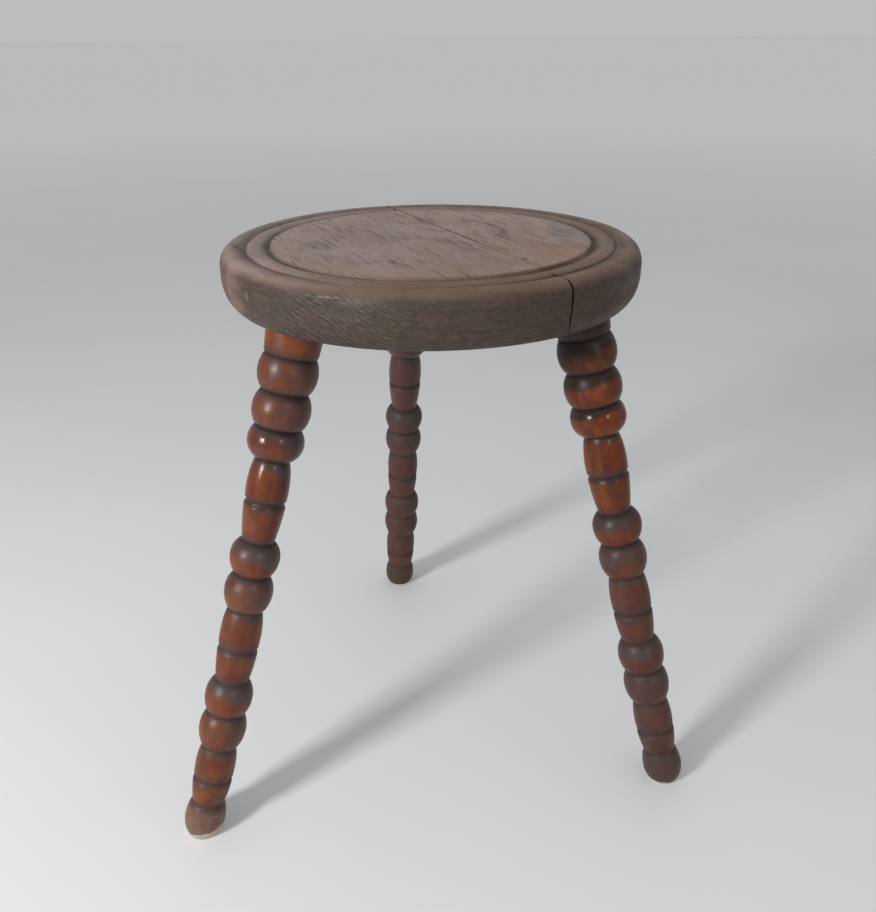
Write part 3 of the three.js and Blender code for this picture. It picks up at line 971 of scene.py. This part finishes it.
def make_floor():
    """A large plain floor, slightly paler far from the stool so that it runs into the studio's light."""
    far = FLOOR_HALF_SIZE
    corners = [(-far, -far, 0), (far, -far, 0), (far, far, 0), (-far, far, 0)]
    floor = mesh_object("floor", corners, [(0, 1, 2, 3)])
    shader = Shader("floor_paint")
    place = shader.node("ShaderNodeNewGeometry", {}).outputs["Position"]
    cloud = shader.noise(place, (2.5, 2.5, 2.5), 4.0, 0.55)
    colour = shader.mix(shader.span(cloud, 0.3, 0.7), FLOOR_DARKER, FLOOR_PALER)
    colour = shader.mix(shader.span(shader.length(place), 1.2, 6.0), colour, FLOOR_FAR)
    shader.set(Base_Color=colour, Roughness=0.6)
    floor.data.materials.append(shader.material)


def area_light(name, azimuth, elevation, distance, size, power, shadow=True):
    light = bpy.data.lights.new(name, "AREA")
    light.use_shadow = shadow
    light.shape = "RECTANGLE"
    light.size, light.size_y = size
    light.energy = power
    lamp = bpy.data.objects.new(name, light)
    direction = Vector((
        math.cos(math.radians(azimuth)) * math.cos(math.radians(elevation)),
        math.sin(math.radians(azimuth)) * math.cos(math.radians(elevation)),
        math.sin(math.radians(elevation)),
    ))
    lamp.location = Vector((SEAT_CENTRE.x, SEAT_CENTRE.y, LIGHT_AIM_HEIGHT)) + direction * distance
    lamp.rotation_euler = direction.to_track_quat("Z", "Y").to_euler()
    bpy.context.scene.collection.objects.link(lamp)


def make_world(colour, strength):
    world = bpy.data.worlds.new("studio")
    world.use_nodes = True
    background = world.node_tree.nodes["Background"]
    background.inputs["Color"].default_value = (*colour, 1)
    background.inputs["Strength"].default_value = strength
    bpy.context.scene.world = world


def make_camera():
    data = bpy.data.cameras.new("camera")
    data.lens = CAMERA_LENS
    data.sensor_width = SENSOR_WIDTH
    camera = bpy.data.objects.new("camera", data)
    turn = (
        Matrix.Rotation(math.radians(CAMERA_YAW), 4, "Z")
        @ Matrix.Rotation(math.radians(90 - CAMERA_PITCH), 4, "X")
        @ Matrix.Rotation(math.radians(CAMERA_ROLL), 4, "Z")
    )
    place = Vector((SEAT_CENTRE.x, SEAT_CENTRE.y - CAMERA_BACK, CAMERA_HEIGHT))
    camera.matrix_world = Matrix.Translation(place) @ turn
    bpy.context.scene.collection.objects.link(camera)
    bpy.context.scene.camera = camera


# ---------------------------------------------------------------- the stool

DOWELS = [node for node in sorted(frame["nodes"]) if node.startswith("joint_dowel")]
LEG_AXES = {node: leg_axis(node) for node in LEG_SOLES}

make_camera()
make_floor()
area_light("window", **WINDOW)
area_light("second_window", **SECOND_WINDOW, shadow=False)
make_world(WORLD_COLOUR, WORLD_STRENGTH)

WIDE_WOOD = seat_wood(
    "seat_wood_wide", WIDE_PITH, ring_tilt=0.0, light=(0.29, 0.212, 0.19), warm=(0.275, 0.19, 0.145),
    shadow=(0.09, 0.065, 0.06), marks=WIDE_MARKS, has_swirl=False,
)
NARROW_WOOD = seat_wood(
    "seat_wood_narrow", NARROW_PITH, ring_tilt=0.25, light=(0.30, 0.22, 0.19), warm=(0.30, 0.205, 0.15),
    shadow=(0.11, 0.075, 0.062), marks=NARROW_MARKS, has_swirl=True,
)
whole_seat = make_seat()
make_board(whole_seat, "seat_board_wide", -1, WIDE_WOOD)
make_board(whole_seat, "seat_board_narrow", 1, NARROW_WOOD)
bpy.data.objects.remove(whole_seat)

LEFT_VARNISH = leg_wood(
    "leg_varnish_left", 1, haze=(0.12, 0.08), stains=LEFT_STAIN_SHADE_AND_SHEEN_COLOURS, worm_holes=[],
    foot_colour=(0.16, 0.11, 0.087), sheen=0.31, roughness=0.13,
)
RIGHT_VARNISH = leg_wood(
    "leg_varnish_right", 2, haze=(0.6, 0.08), stains=RIGHT_STAIN_COLOURS, worm_holes=RIGHT_HOLES,
    foot_colour=(0.065, 0.038, 0.034), sheen=0.2, roughness=0.11,
)
REAR_VARNISH = leg_wood(
    "leg_varnish_rear", 3, haze=(0.68, 0.78), stains=REAR_STAIN_AND_SHADE_COLOURS, worm_holes=[],
    foot_colour=(0.068, 0.035, 0.027), sheen=0.3, roughness=0.28,
)
make_leg("leg_front_left", 1, girth=0.975, bow=1.3, dark_side=1, worn_sole=8,
         stains=LEFT_STAINS, material=LEFT_VARNISH)
make_leg("leg_front_right", 2, girth=0.99, bow=-1.5, dark_side=-0.5, worn_sole=2.4,
         stains=RIGHT_STAINS, material=RIGHT_VARNISH)
make_leg("leg_rear", 3, girth=0.955, bow=0.3, dark_side=1, worn_sole=1.2,
         stains=REAR_STAINS, material=REAR_VARNISH)

DOWEL_WOOD = dowel_wood()
for node in DOWELS:
    frame["nodes"][node].data.materials.clear()
    frame["nodes"][node].data.materials.append(DOWEL_WOOD)

bpy.context.scene.view_settings.view_transform = "Standard"
